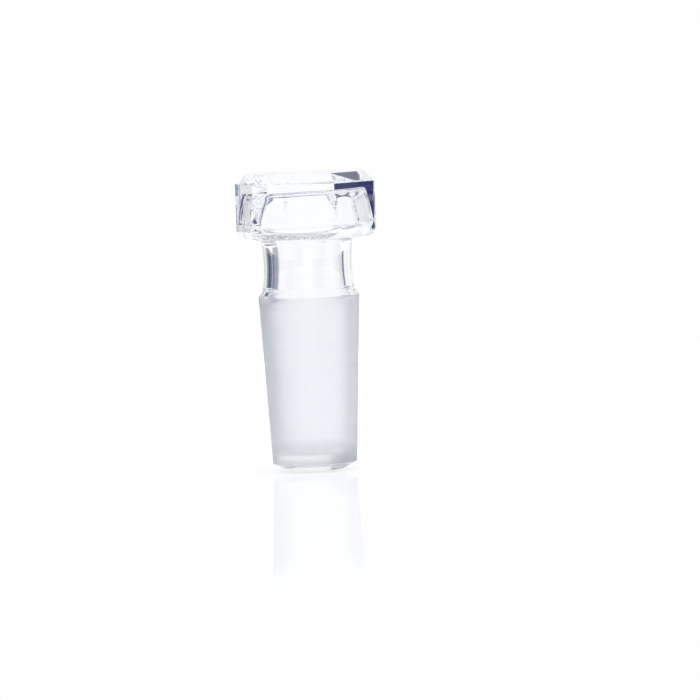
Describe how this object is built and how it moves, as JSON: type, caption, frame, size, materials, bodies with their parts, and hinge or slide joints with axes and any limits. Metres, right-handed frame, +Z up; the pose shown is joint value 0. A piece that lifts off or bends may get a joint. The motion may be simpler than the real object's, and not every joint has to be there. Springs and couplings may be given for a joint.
{
  "type": "glass stopper",
  "caption": "Hollow one-piece glass stopper with a six-sided grip head, waisted neck and 24/40 standard-taper ground joint.",
  "frame": {"origin": "centre of the flat tip that the stopper stands on", "axes": "+Z up the axis from the tip to the head; the two broad flats of the head face +Y and -Y, and its long corners point along +X and -X"},
  "size_m": [0.0342, 0.0244, 0.0712],
  "materials": {
    "glass": "clear fire-polished borosilicate glass, with a fine-ground matt surface on the tapered joint"
  },
  "bodies": {
    "root": {"stopper": "glass"}
  },
  "joints": []
}
